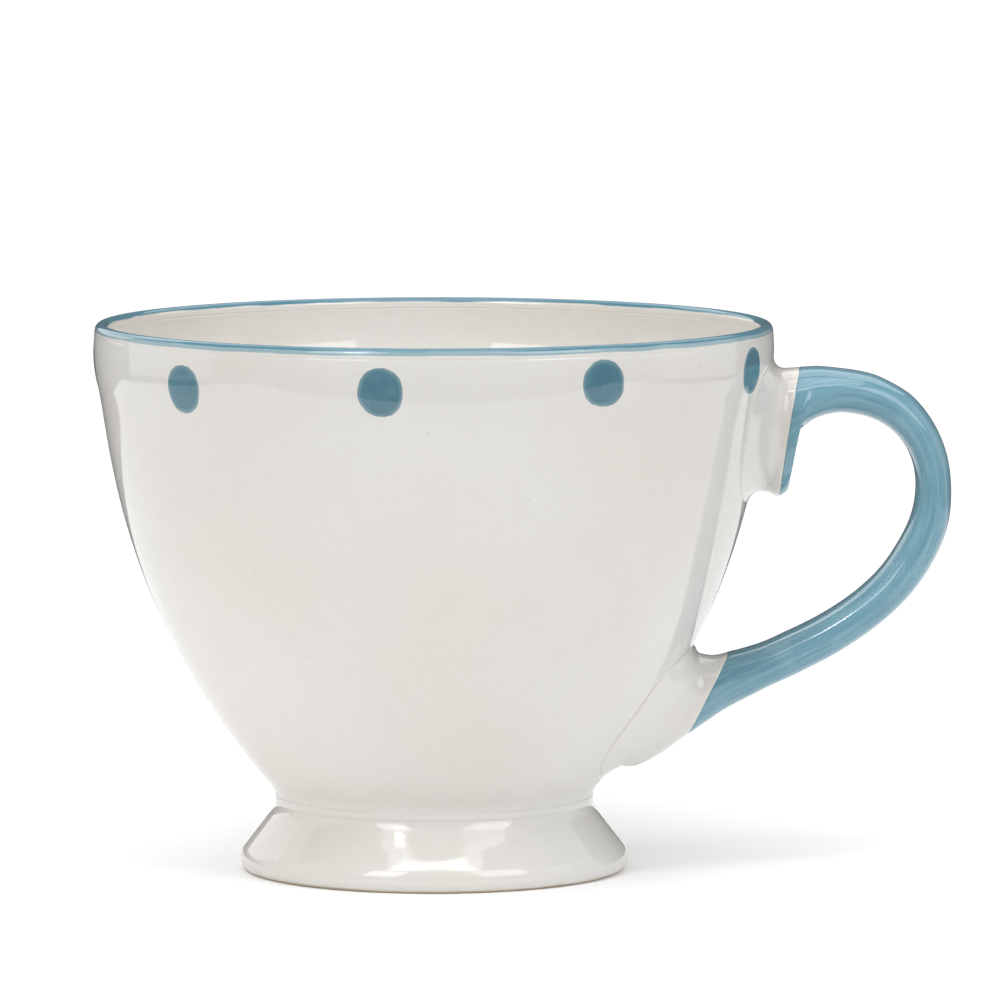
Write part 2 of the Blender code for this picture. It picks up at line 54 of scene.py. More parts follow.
CUP_HEIGHT = 97.0 * MM
RIM_RADIUS = 60.0 * MM
LIP_THICKNESS = 2.4 * MM
WALL_THICKNESS = 4.0 * MM
WALL_TAPER = 30.0 * MM
LIP_TURN_HEIGHT = 11.0 * MM
LIP_TURN_RADIUS = 29.2 * MM
LIP_TURN_LEAN = math.radians(12.75)
FLANK_LEAN = math.radians(41.0)
FLANK_PULL = 0.583
SHOULDER_PULL = 0.137
FLOOR_THICKNESS = 5.0 * MM
FLOOR_BLEND = 9.0 * MM
WAIST_RADIUS = 28.1 * MM
WAIST_HEIGHT = 12.6 * MM
WAIST_GROOVE = 4.0 * MM
FOOT_RADIUS = 34.4 * MM
FOOT_EDGE_HEIGHT = 2.1 * MM
FOOT_SHOULDER = 3.2 * MM
FOOT_WALL = 4.2 * MM
STANDING_RADIUS = 32.9 * MM
STANDING_WIDTH = 3.0 * MM
SEAM_HALF = 0.5 * MM
EAR_REACH = 35.4 * MM
UPPER_ROOT_DROP = 18.9 * MM
UPPER_ROOT_TALL = 22.9 * MM
LOWER_ROOT_HEIGHT = 28.5 * MM
LOWER_ROOT_TALL = 25.0 * MM
STRAP_THICKNESS = 5.3 * MM
STRAP_DEPTH = 12.6 * MM
ROOT_DEPTH = 20.0 * MM
EAR_SQUARENESS = 2.5
ROOT_FADE = 10.0 * MM
RIM_BAND_DEPTH = 1.9 * MM
DOT_COUNT = 9
DOT_WIDTH = 8.1 * MM
DOT_TALL = 8.5 * MM
DOT_DROP = 7.3 * MM

# How far the painter's hand strayed at each dot: degrees round the cup, and mm of height.
DOT_STRAYS = [(0.9, 0.3), (1.2, -0.2), (2.6, 0.6), (2.3, -0.5), (3.9, 0.1),
              (4.3, -1.05), (1.7, -0.15), (-0.6, 0.8), (-1.9, 0.5)]

# Sections of the ear, from the upper root round the loop to the lower root. Each row is
# the reach of its middle from the wall (share of the ear's reach), its height (share of
# the way up from the lower root to the upper), its lean from upright (degrees), and its
# swell (0 at the strap's own size, 1 at the root's).
EAR_SECTIONS = [
    (0.000, 1.000, 9, 0.94),
    (0.081, 0.995, 8, 0.95),
    (0.157, 0.991, 9, 0.99),
    (0.196, 1.005, 10, 0.92),      # this row and the next two: slimmer than in the CAD
    (0.206, 1.042, 18, 0.75),
    (0.247, 1.083, 31, 0.57),
    (0.350, 1.119, 42, 0.365),
    (0.469, 1.126, 47, 0.24),
    (0.593, 1.108, 48, 0.15),
    (0.713, 1.073, 49, 0.10),
    (0.837, 1.004, 54, 0.06),
    (0.940, 0.903, 65, 0.05),
    (1.000, 0.791, 84, 0.05),
    (1.024, 0.672, 107, 0.070),
    (0.999, 0.549, 119, 0.087),
    (0.949, 0.452, 130, 0.088),
    (0.861, 0.362, 142, 0.088),
    (0.726, 0.273, 151, 0.095),
    (0.575, 0.203, 163, 0.110),
    (0.425, 0.143, 180, 0.155),
    (0.320, 0.101, 196, 0.295),
    (0.240, 0.056, 206, 0.530),
    (0.154, 0.010, 209, 0.75),
    (0.072, -0.006, 210, 0.90),
    (0.000, 0.001, 214, 0.99),
]
UPPER_GLAZE_ROW = 2
FURTHEST_ROW = 12
LOWER_GLAZE_ROW = 21
LAST_ROW = len(EAR_SECTIONS) - 1

# ---------------------------------------------------------------- sizes of the looks
TURN_STEPS = 256
EAR_AROUND = 112
EAR_STEP = 0.125                  # rows from one loop of points of the ear to the next
DOT_AROUND = 64
FLARE_PLACES = 60                 # loops of the ear's skin that a flare is measured from
FLARE_STEPS = 22                  # loops of points from a flare's top to its toe
COAT = 0.25 * MM                  # thickness of the coloured glaze over what is under it
SINK = 0.35 * MM                  # how deep pieces run into each other where they meet
PROUD = 0.02 * MM                 # how far a coat stands out of what it covers
BAND_CLEAR = 0.25 * MM            # bowl points closer than this to the band's foot are left out
FLOOR_PULL = 0.55                 # how wide the bowl's floor stays level, as a share of its turn
UNDERSIDE_RINGS = (0.0, 8 * MM, 16 * MM, 22 * MM)
FOOT_CHAMFER = 0.5 * MM           # inside the standing ring
SEAM_SPILL = 0.15 * MM            # slip that shows past the seam, above and below
SEAM_PROUD = 0.03 * MM
SEAM_DEPTH = 3.0 * MM
EAR_TIP = 2.0 * MM                # how deep the ear's closed ends reach into the wall

low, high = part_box("bowl")
AXIS_X = (low.x + high.x) / 2


# ---------------------------------------------------------------- profile geometry

def arc(centre, radius, start, end, steps):
    """Points on a circle in the plane of the profile."""
    angles = np.linspace(start, end, steps + 1)
    return [(centre[0] + radius * math.cos(a), centre[1] + radius * math.sin(a)) for a in angles]


def bezier(p0, p1, p2, p3, steps):
    """Points on a cubic Bezier curve."""
    p0, p1, p2, p3 = (np.array(p) for p in (p0, p1, p2, p3))
    points = []
    for t in np.linspace(0.0, 1.0, steps + 1):
        s = 1.0 - t
        points.append(tuple(s ** 3 * p0 + 3 * s * s * t * p1 + 3 * s * t * t * p2 + t ** 3 * p3))
    return points


def heading(lean):
    """Unit vector in the profile plane that leans outwards from +Z."""
    return np.array([math.sin(lean), math.cos(lean)])


def waist_centre():
    """Middle of the circle that hollows the waist."""
    return np.array([WAIST_RADIUS + WAIST_GROOVE, WAIST_HEIGHT])


def shoulder_centre():
    """Middle of the circle that rounds the foot's edge."""
    return np.array([FOOT_RADIUS - FOOT_SHOULDER, FOOT_EDGE_HEIGHT])


def flare_angle():
    """Direction of the normal of the straight flare of the foot."""
    span = waist_centre() - shoulder_centre()
    distance = math.hypot(span[0], span[1])
    turn = math.acos((FOOT_SHOULDER + WAIST_GROOVE) / distance)
    return math.atan2(span[1], span[0]) - turn


def wall_outline(steps):
    """Outside of the bowl from the top of the waist's hollow to the lip's height."""
    low = waist_centre() + WAIST_GROOVE * np.array([-math.cos(FLANK_LEAN), math.sin(FLANK_LEAN)])
    turn_centre = np.array([RIM_RADIUS - LIP_TURN_RADIUS,
                            CUP_HEIGHT - LIP_TURN_HEIGHT + LIP_TURN_RADIUS * math.sin(LIP_TURN_LEAN)])
    high = turn_centre + LIP_TURN_RADIUS * np.array([math.cos(LIP_TURN_LEAN), -math.sin(LIP_TURN_LEAN)])
    rise = high[1] - low[1]
    low_handle = low + FLANK_PULL * rise * heading(FLANK_LEAN)
    high_handle = high - SHOULDER_PULL * rise * heading(LIP_TURN_LEAN)
    flank = bezier(low, low_handle, high_handle, high, steps)
    lip_height = CUP_HEIGHT - LIP_THICKNESS / 2
    end = math.asin((lip_height - turn_centre[1]) / LIP_TURN_RADIUS)
    turn = arc(turn_centre, LIP_TURN_RADIUS, -LIP_TURN_LEAN, end, max(3, steps // 4))
    return flank + turn[1:]


FINE_WALL = np.array(wall_outline(400))


def wall_radius(height):
    """Radius of the outside of the bowl at a height."""
    return np.interp(height, FINE_WALL[:, 1], FINE_WALL[:, 0])


def wall_thickness(height):
    """Thickness of the bowl's wall, thinner towards the lip."""
    share = min(1.0, max(0.0, (CUP_HEIGHT - height) / WALL_TAPER))
    return LIP_THICKNESS + (WALL_THICKNESS - LIP_THICKNESS) * share


def inner_outline(outline):
    """Inside of the bowl, from the top down."""
    outline = np.array(outline)
    along = np.gradient(outline, axis=0)
    along /= np.hypot(along[:, 0], along[:, 1])[:, None]
    inward = np.stack([-along[:, 1], along[:, 0]], axis=1)
    thickness = np.array([wall_thickness(p[1]) for p in outline])
    return (outline + inward * thickness[:, None])[::-1]


# ---------------------------------------------------------------- mesh helpers

def mesh_piece(name, loops, closed, node, material, uvs=None):
    """Skin a row of point loops into a piece with its material slot, put it on the root body, and hide the
    CAD node that it stands for.

    uvs gives one (u, v) pair for every point of every loop.
    """
    bm = bmesh.new()
    rings = [[bm.verts.new((p[0] + AXIS_X, p[1], p[2])) for p in loop] for loop in loops]
    numbers = {}
    for r, ring in enumerate(rings):
        for c, vert in enumerate(ring):
            numbers[vert] = (r, c)
    pairs = list(zip(rings, rings[1:]))
    if closed:
        pairs.append((rings[-1], rings[0]))
    for first, second in pairs:
        count = max(len(first), len(second))
        for i in range(count):
            j = (i + 1) % count
            if len(first) == 1:
                bm.faces.new((first[0], second[j], second[i]))
            elif len(second) == 1:
                bm.faces.new((first[i], first[j], second[0]))
            else:
                bm.faces.new((first[i], first[j], second[j], second[i]))
    bmesh.ops.recalc_face_normals(bm, faces=bm.faces)
    if bm.calc_volume(signed=True) < 0:
        bmesh.ops.reverse_faces(bm, faces=bm.faces)
    if uvs is not None:
        layer = bm.loops.layers.uv.new("place")
        for face in bm.faces:
            for corner in face.loops:
                r, c = numbers[corner.vert]
                corner[layer].uv = uvs[r][c]
    mesh = bpy.data.meshes.new(name)
    bm.to_mesh(mesh)
    bm.free()
    mesh.materials.append(material)
    mesh.shade_smooth()
    piece = bpy.data.objects.new(name, mesh)
    bpy.context.scene.collection.objects.link(piece)
    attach(piece, "root")
    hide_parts(node)


def turned_loops(profile):
    """Loops of a profile turned round the axis."""
    loops = []
    for radius, height in profile:
        count = TURN_STEPS if radius > 1e-9 else 1
        angles = [2 * math.pi * i / TURN_STEPS for i in range(count)]
        loops.append([(radius * math.cos(a), radius * math.sin(a), height) for a in angles])
    return loops


# ---------------------------------------------------------------- turned pieces

def bowl_profile():
    """Bowl: up the outside from the middle of its underside, over the lip, down the inside."""
    flank_top = WAIST_GROOVE * math.sin(FLANK_LEAN)
    start = math.pi - math.asin(SEAM_HALF / WAIST_GROOVE)
    end = math.pi - math.asin(flank_top / WAIST_GROOVE)
    outside = arc(waist_centre(), WAIST_GROOVE, start, end, 10) + wall_outline(90)[1:]
    inside = inner_outline(wall_outline(90))
    band_foot = CUP_HEIGHT - RIM_BAND_DEPTH
    lip_height = CUP_HEIGHT - LIP_THICKNESS / 2
    lip_middle = wall_radius(lip_height) - LIP_THICKNESS / 2
    outside = [p for p in outside if p[1] < band_foot - BAND_CLEAR]
    outside.append((wall_radius(band_foot), band_foot))
    lip = arc((lip_middle, lip_height), LIP_THICKNESS / 2 - COAT, 0.0, math.pi, 24)
    inside = [tuple(p) for p in inside if p[1] < band_foot - BAND_CLEAR]
    inside = [(wall_radius(band_foot) - wall_thickness(band_foot), band_foot)] + inside
    floor = WAIST_HEIGHT + SEAM_HALF + FLOOR_THICKNESS
    wall = [p for p in inside if p[1] > floor + FLOOR_BLEND]
    start = np.array(wall[-1])
    drop = start - np.array(wall[-2])
    drop /= math.hypot(drop[0], drop[1])
    turn = bezier(start, start + drop * FLOOR_BLEND, (start[0] * FLOOR_PULL, floor), (0.0, floor), 40)
    under = WAIST_HEIGHT + SEAM_HALF
    underside = [(radius, under) for radius in UNDERSIDE_RINGS]
    return underside + outside + lip + wall + turn[1:]


def foot_profile():
    """Foot, closed: up the outside from the standing ring, and down the bore."""
    flare = flare_angle()
    edge_reach = FOOT_RADIUS - STANDING_RADIUS
    under_edge = [(STANDING_RADIUS + edge_reach * math.sin(a), FOOT_EDGE_HEIGHT * (1 - math.cos(a)))
                  for a in np.linspace(0.0, math.pi / 2, 12)]
    shoulder = arc(shoulder_centre(), FOOT_SHOULDER, 0.0, flare, 12)
    top = math.pi + math.asin(SEAM_HALF / WAIST_GROOVE)
    waist = arc(waist_centre(), WAIST_GROOVE, flare + math.pi, top, 14)
    straight = [tuple(np.array(shoulder[-1]) + t * (np.array(waist[0]) - np.array(shoulder[-1])))
                for t in (0.25, 0.5, 0.75)]
    bore_radius = WAIST_GROOVE + FOOT_WALL
    top = math.pi + math.asin(SEAM_HALF / bore_radius)
    bore = arc(waist_centre(), bore_radius, top, flare + math.pi, 10)
    ring_inner = STANDING_RADIUS - STANDING_WIDTH
    low = np.array(bore[-1])
    along = np.array([math.sin(flare), -math.cos(flare)])
    meet = low + along * (ring_inner - FOOT_CHAMFER - low[0]) / along[0]
    inside = bore + [tuple(low + t * (meet - low)) for t in (0.3, 0.6, 0.9)]
    inside += [tuple(meet), (ring_inner - FOOT_CHAMFER, FOOT_CHAMFER), (ring_inner - 0.15 * MM, 0.12 * MM)]
    inside += [(ring_inner + 0.15 * MM, 0.0), (ring_inner + 0.5 * MM, 0.0), (STANDING_RADIUS - 0.4 * MM, 0.0)]
    return under_edge + shoulder[1:] + straight + waist + inside


def seam_profile():
    """Ring of slip in the hollow of the waist."""
    reach = math.asin((SEAM_HALF + SEAM_SPILL) / WAIST_GROOVE)
    out = arc(waist_centre(), WAIST_GROOVE - SEAM_PROUD, math.pi + reach, math.pi - reach, 10)
    return out + [(out[-1][0] - SEAM_DEPTH, out[-1][1]), (out[0][0] - SEAM_DEPTH, out[0][1])]


def rim_band_profile():
    """Coat of glaze that wraps the lip, with a v of 1 outside the cup and 0 inside it."""
    band_foot = CUP_HEIGHT - RIM_BAND_DEPTH
    lip_height = CUP_HEIGHT - LIP_THICKNESS / 2
    lip_middle = wall_radius(lip_height) - LIP_THICKNESS / 2
    outer_foot = wall_radius(band_foot)
    inner_foot = outer_foot - wall_thickness(band_foot)
    side = [(wall_radius(z) + PROUD, z) for z in np.linspace(band_foot, lip_height, 6)[1:-1]]
    over = arc((lip_middle, lip_height), LIP_THICKNESS / 2, 0.0, math.pi, 32)
    inner_side = [(over[-1][0] + (inner_foot - over[-1][0]) * t, lip_height + (band_foot - lip_height) * t)
                  for t in (0.25, 0.5, 0.75)]
    under = arc((lip_middle, lip_height), LIP_THICKNESS / 2 - 2 * COAT, math.pi, 0.0, 12)
    profile = ([(outer_foot - PROUD, band_foot)] + side + over + inner_side
               + [(inner_foot + PROUD, band_foot), (inner_foot + 2 * COAT, band_foot)]
               + under + [(outer_foot - 2 * COAT, band_foot)])
    half = LIP_THICKNESS / 2
    across = [min(1.0, max(0.0, (p[0] - lip_middle + half) / (2 * half))) for p in profile]
    return profile, across


# ---------------------------------------------------------------- ear

def section_tall(place, swell):
    """Length of a section of the ear: the strap's thickness, swollen towards the roots."""
    root_tall = UPPER_ROOT_TALL + (LOWER_ROOT_TALL - UPPER_ROOT_TALL) * place / LAST_ROW
    return STRAP_THICKNESS + (root_tall - STRAP_THICKNESS) * swell


def ear_rows():
    """Each row's reach from the wall, height, lean and swell, in metres and radians."""
    low = LOWER_ROOT_HEIGHT
    rise = CUP_HEIGHT - UPPER_ROOT_DROP - low
    middle_reach = EAR_REACH - section_tall(FURTHEST_ROW, EAR_SECTIONS[FURTHEST_ROW][3]) / 2
    rows = []
    for reach, height, lean, swell in EAR_SECTIONS:
        rows.append((reach * middle_reach, low + height * rise, math.radians(lean), swell))
    return np.array(rows)


ROWS = ear_rows()
STEP = np.hypot(np.diff(ROWS[:, 0]), np.diff(ROWS[:, 1]))
KNOTS = np.concatenate([[0.0], np.cumsum(STEP)])
SLOPES = np.gradient(ROWS, KNOTS, axis=0)


def smooth_rows(place):
    """Row values at fractional row numbers, on a smooth curve through the rows."""
    place = np.asarray(place, dtype=float)
    row = np.clip(place.astype(int), 0, LAST_ROW - 1)
    t = (place - row)[..., None]
    span = (KNOTS[row + 1] - KNOTS[row])[..., None]
    ends = (2 * t ** 3 - 3 * t ** 2 + 1) * ROWS[row] + (3 * t ** 2 - 2 * t ** 3) * ROWS[row + 1]
    pulls = (t ** 3 - 2 * t ** 2 + t) * SLOPES[row] + (t ** 3 - t ** 2) * SLOPES[row + 1]
    return ends + span * pulls


ANGLES = 2 * math.pi * np.arange(EAR_AROUND) / EAR_AROUND


def skin_points(place, taller=0.0, deeper=0.0, squareness=EAR_SQUARENESS):
    """Points of the ear's skin at row numbers, one row number for each direction round it."""
    rows = smooth_rows(np.broadcast_to(place, ANGLES.shape))
    reach, height, lean, swell = rows.T
    tall = section_tall(np.broadcast_to(place, ANGLES.shape), swell) / 2 + taller
    deep = (STRAP_DEPTH + (ROOT_DEPTH - STRAP_DEPTH) * swell) / 2 + deeper
    across = np.sign(np.sin(ANGLES)) * np.abs(np.sin(ANGLES)) ** (2 / squareness) * deep
    up = np.sign(np.cos(ANGLES)) * np.abs(np.cos(ANGLES)) ** (2 / squareness) * tall
    return np.stack([wall_radius(height) + reach + up * np.sin(lean), across,
                     height + up * np.cos(lean)], axis=1)


def follow_wall(loop):
    """Bend points near the wall round the cup."""
    bent = loop.copy()
    radius = wall_radius(loop[:, 2])
    clear = np.clip((loop[:, 0] - radius) / ROOT_FADE, 0.0, 1.0)
    fade = 1.0 - clear * clear * (3.0 - 2.0 * clear)
    half = np.clip(loop[:, 1], -0.99 * radius, 0.99 * radius)
    bent[:, 0] -= fade * (radius - np.sqrt(radius ** 2 - half ** 2))
    return bent


def seat(loop, depth):
    """Put a loop on the wall, sunk by a depth."""
    seated = loop.copy()
    seated[:, 0] = wall_radius(loop[:, 2]) - depth
    return seated


def outward_normals(loops):
    """Normals of the skin through a row of loops, at every point."""
    loops = np.array(loops)
    along = np.gradient(loops, axis=0)
    around = np.roll(loops, -1, axis=1) - np.roll(loops, 1, axis=1)
    normals = np.cross(along, around)
    normals /= np.linalg.norm(normals, axis=2, keepdims=True)
    outward = loops - loops.mean(axis=1, keepdims=True)
    return normals * np.sign((normals * outward).sum())


def ear_pieces(cream, blue):
    """Body of the ear, and the coat of glaze round its loop."""
    places = np.arange(0.0, LAST_ROW + 0.01, EAR_STEP)
    loops = [skin_points(p) for p in places]
    normals = outward_normals(loops)
    core = []
    for i, place in enumerate(places):
        depth = 0.0
        if UPPER_GLAZE_ROW <= place <= LOWER_GLAZE_ROW:
            depth = COAT
        loop = loops[i] - normals[i] * depth
        if i == 0 or i == len(places) - 1:
            loop = seat(loop, SINK * 3)
        core.append(follow_wall(loop))
    first = core[0].mean(axis=0, keepdims=True) - np.array([[EAR_TIP, 0, 0]])
    last = core[-1].mean(axis=0, keepdims=True) - np.array([[EAR_TIP, 0, 0]])
    mesh_piece("ear", [first] + core + [last], False, "ear_handle", cream)

    length = 0.0
    outer = []
    inner = []
    uvs = []
    middle = None
    for i, place in enumerate(places):
        if not UPPER_GLAZE_ROW - 0.13 <= place <= LOWER_GLAZE_ROW + 0.13:
            continue
        centre = loops[i].mean(axis=0)
        if middle is not None:
            length += float(np.linalg.norm(centre - middle))
        middle = centre
        ends = min(place - UPPER_GLAZE_ROW, LOWER_GLAZE_ROW - place)
        lift = (0.03 if ends > -0.01 else -0.05) * MM
        outer.append(follow_wall(loops[i] + normals[i] * lift))
        inner.append(follow_wall(loops[i] - normals[i] * (COAT + 0.15 * MM)))
        uvs.append([(float(a / (2 * math.pi)), length / MM / 100) for a in ANGLES])
    mesh_piece("ear_glaze", outer + inner[::-1], True, "ear_glaze_sleeve", blue,
               uvs + uvs[::-1])


def root_flare(name, node, at_top, rise, spread, edge, widen, most, material):
    """Slip worked out from a root over the wall: wide at the sides, narrow at the ends."""
    sideways = np.sin(ANGLES) ** 2
    rises = edge + (rise - edge) * sideways
    spreads_deep = spread * (1.0 + widen * np.cos(ANGLES))
    places = np.linspace(0.0, 2.6, FLARE_PLACES)
    if not at_top:
        places = LAST_ROW - np.linspace(0.0, 3.4, FLARE_PLACES)
    loops = []
    for theta in np.linspace(0.0, math.radians(most), FLARE_STEPS):
        reach = rises * (1.0 - math.sin(theta))
        run = 1.0 - math.cos(theta)
        square = EAR_SQUARENESS + 1.2 * run
        grid = np.array([skin_points(p, edge * run, spreads_deep * run, square) for p in places])
        clear = grid[:, :, 0] - wall_radius(grid[:, :, 2])
        loop = np.array([[np.interp(reach[k], clear[:, k], grid[:, k, axis]) for axis in range(3)]
                         for k in range(EAR_AROUND)])
        loop[:, 0] = wall_radius(loop[:, 2]) + reach
        loops.append(loop)
    loops[0] = loops[0] - outward_normals(loops[:2])[0] * PROUD
    toe = seat(loops[-1] + (loops[-1] - loops[-2]) * 0.6, SINK)
    outer = [follow_wall(loop) for loop in loops] + [follow_wall(toe)]
    hidden = []
    for depth, share in ((SINK, 0.9), (SINK * 2, 0.75)):
        base = skin_points(places[0])
        middle = base.mean(axis=0)
        loop = middle + (base - middle) * share
        hidden.append(follow_wall(seat(loop, depth * 2)))
    head = loops[0].mean(axis=0) + (loops[0] - loops[0].mean(axis=0)) * 0.93
    head[:, 0] -= 0.5 * MM
    mesh_piece(name, outer + hidden + [follow_wall(head)], True, node, material)


# ---------------------------------------------------------------- dots

def squarish(share):
    """One coordinate of a dab's outline, a little fuller than a circle's."""
    return math.copysign(abs(share) ** 0.92, share)


def dot_piece(number, angle, height, material):
    """A dab of colour: a shallow lens that follows the wall."""
    rng = np.random.default_rng(40 + number)
    turns = 2 * math.pi * np.arange(DOT_AROUND) / DOT_AROUND
    wobble = 1 + 0.02 * np.sin(2 * turns + rng.uniform(0, 6)) + 0.015 * np.sin(3 * turns + rng.uniform(0, 6))
    loops = []
    uvs = []
    for front, scales in ((True, (0.0, 0.2, 0.4, 0.6, 0.75, 0.86, 0.94, 1.0)), (False, (0.96, 0.5, 0.0))):
        for scale in scales:
            count = DOT_AROUND if scale > 0.0 else 1
            loop = []
            uv = []
            for k in range(count):
                side = scale * DOT_WIDTH / 2 * 1.08 * squarish(math.cos(turns[k])) * wobble[k]
                up = scale * DOT_TALL / 2 * 1.06 * squarish(math.sin(turns[k])) * wobble[k]
                z = height + up
                lift = (0.10 * (1 - scale ** 2) ** 0.7 - 0.03) * MM if front else -0.3 * MM
                radius = float(wall_radius(z))
                direction = angle + side / radius
                loop.append(((radius + lift) * math.cos(direction), (radius + lift) * math.sin(direction), z))
                uv.append((scale * math.cos(turns[k]) / 2 + 0.5, scale * math.sin(turns[k]) / 2 + 0.5))
            loops.append(loop)
            uvs.append(uv)
    mesh_piece("dot_%d" % number, loops, False, "glaze_dot_%d" % number, material, uvs)


# ---------------------------------------------------------------- materials

MIX_A, MIX_B, MIX_RESULT = 6, 7, 2     # a Mix node's colour sockets, whose names it uses twice


class Nodes:
    """Short way to write a node material."""

    def __init__(self, name):
        self.material = bpy.data.materials.new(name)
        self.material.use_nodes = True
        self.tree = self.material.node_tree
        self.shader = self.tree.nodes["Principled BSDF"]
        self.place = self.add("ShaderNodeTexCoord").outputs["Object"]
        self.uv = self.add("ShaderNodeTexCoord").outputs["UV"]

    def add(self, kind):
        """A new node."""
        return self.tree.nodes.new(kind)

    def link(self, source, target):
        """Feed a socket with a number, a colour or another node's output."""
        if isinstance(source, (int, float)):
            target.default_value = source
        elif isinstance(source, tuple):
            target.default_value = source if len(source) == 4 else (*source, 1.0)
        else:
            self.tree.links.new(source, target)

    def noise(self, scale, detail=3.0, rough=0.5, stretch=None, where=None):
        """Noise in the object's space, or where it is told."""
        where = self.place if where is None else where
        if stretch is not None:
            mapping = self.add("ShaderNodeMapping")
            mapping.inputs["Scale"].default_value = stretch
            self.link(where, mapping.inputs["Vector"])
            where = mapping.outputs["Vector"]
        node = self.add("ShaderNodeTexNoise")
        node.inputs["Scale"].default_value = scale
        node.inputs["Detail"].default_value = detail
        node.inputs["Roughness"].default_value = rough
        self.link(where, node.inputs["Vector"])
        return node.outputs["Fac"]

    def ramp(self, value, start, end, low=0.0, high=1.0):
        """Smooth change from low to high as a value goes from start to end."""
        node = self.add("ShaderNodeMapRange")
        node.interpolation_type = "SMOOTHSTEP"
        node.inputs["From Min"].default_value = start
        node.inputs["From Max"].default_value = end
        node.inputs["To Min"].default_value = low
        node.inputs["To Max"].default_value = high
        self.link(value, node.inputs["Value"])
        return node.outputs["Result"]

    def math(self, kind, a, b=0.0):
        """One sum."""
        node = self.add("ShaderNodeMath")
        node.operation = kind
        self.link(a, node.inputs[0])
        self.link(b, node.inputs[1])
        return node.outputs["Value"]

    def mix(self, share, a, b):
        """Colour between a and b."""
        node = self.add("ShaderNodeMix")
        node.data_type = "RGBA"
        self.link(share, node.inputs["Factor"])
        self.link(a, node.inputs[MIX_A])
        self.link(b, node.inputs[MIX_B])
        return node.outputs[MIX_RESULT]

    def part(self, vector, axis):
        """One coordinate of a vector."""
        node = self.add("ShaderNodeSeparateXYZ")
        self.link(vector, node.inputs["Vector"])
        return node.outputs[axis]

    def bump(self, height, distance, strength=1.0, base=None):
        """Normal of a relief, over another relief if one is given."""
        node = self.add("ShaderNodeBump")
        node.inputs["Strength"].default_value = strength
        node.inputs["Distance"].default_value = distance
        self.link(height, node.inputs["Height"])
        if base is not None:
            self.link(base, node.inputs["Normal"])
        return node.outputs["Normal"]

    def finish(self, color, roughness, normal):
        """Fill in the shader of a glaze."""
        self.link(color, self.shader.inputs["Base Color"])
        self.link(roughness, self.shader.inputs["Roughness"])
        self.link(normal, self.shader.inputs["Normal"])
        self.shader.inputs["IOR"].default_value = 1.5
        self.shader.inputs["Specular IOR Level"].default_value = 0.5
        return self.material


CREAM = (0.733, 0.712, 0.680)
CREAM_WARM = (0.715, 0.685, 0.632)
CREAM_COOL = (0.745, 0.733, 0.714)
CLAY = (0.52, 0.43, 0.33)
CREAM_MOTTLE = (0.62, 0.585, 0.52)
CREAM_SPECK = (0.42, 0.37, 0.30)
BLUE_DEEP = (0.142, 0.298, 0.378)
BLUE_MID = (0.200, 0.372, 0.452)
BLUE_PALE = (0.290, 0.462, 0.530)
DOT_DEEP = (0.078, 0.186, 0.240)
DOT_MID = (0.112, 0.232, 0.288)
DOT_EDGE = (0.26, 0.38, 0.42)
RIM_WASH = (0.290, 0.425, 0.470)
RIM_WASH_PALE = (0.335, 0.465, 0.505)
RIM_DEEP = (0.090, 0.222, 0.290)
RIM_DEEP_PALE = (0.112, 0.255, 0.325)
RIM_FOOT = CUP_HEIGHT - 0.72 * MM      # where the blue ends inside the cup
RIM_THICK = CUP_HEIGHT - 0.40 * MM     # above this the blue is deep all over


def cream_color(n):
    """Cream glaze over a pale body: broad drift of tone, fine mottling and a few specks."""
    drift = n.ramp(n.noise(22.0, 2.0), 0.35, 0.65)
    tone = n.mix(drift, CREAM_WARM, CREAM_COOL)
    tone = n.mix(0.5, tone, CREAM)
    mottle = n.ramp(n.noise(420.0, 3.0), 0.35, 0.75, 0.0, 0.10)
    tone = n.mix(mottle, tone, CREAM_MOTTLE)
    specks = n.ramp(n.noise(900.0, 1.0), 0.76, 0.80, 0.0, 0.22)
    return n.mix(specks, tone, CREAM_SPECK)


def cream_normal(n):
    """Slow swell of the thrown wall and the fine skin of the glaze over it."""
    swell = n.bump(n.noise(38.0, 2.0), 0.0022, 0.10)
    return n.bump(n.noise(260.0, 2.0), 0.0002, 0.04, swell)


def cream_material(name, bare_foot=False):
    """Glossy cream glaze, wiped off the clay at the standing ring if bare_foot is set."""
    n = Nodes(name)
    color = cream_color(n)
    roughness = n.ramp(n.noise(150.0, 2.0), 0.3, 0.7, 0.045, 0.065)
    if bare_foot:
        height = n.part(n.place, "Z")
        ragged = n.math("ADD", height, n.ramp(n.noise(120.0, 2.0), 0.2, 0.8, -0.0001, 0.0001))
        bare = n.ramp(ragged, 0.0003, 0.0006, 1.0, 0.0)
        color = n.mix(bare, color, CLAY)
        roughness = n.math("ADD", roughness, n.math("MULTIPLY", bare, 0.5))
    return n.finish(color, roughness, cream_normal(n))


def blue_material():
    """Brushed blue on the ear: soft streaks along the stroke, with paler clouds."""
    n = Nodes("brushed_blue")
    streaks = n.noise(1.0, 4.0, 0.6, (46.0, 7.0, 1.0), n.uv)
    cloud = n.noise(120.0, 3.0)
    tone = n.mix(n.ramp(streaks, 0.35, 0.68), BLUE_DEEP, BLUE_MID)
    tone = n.mix(n.ramp(cloud, 0.48, 0.75, 0.0, 0.35), tone, BLUE_PALE)
    return n.finish(tone, 0.07, n.bump(n.noise(300.0, 2.0), 0.0002, 0.12))


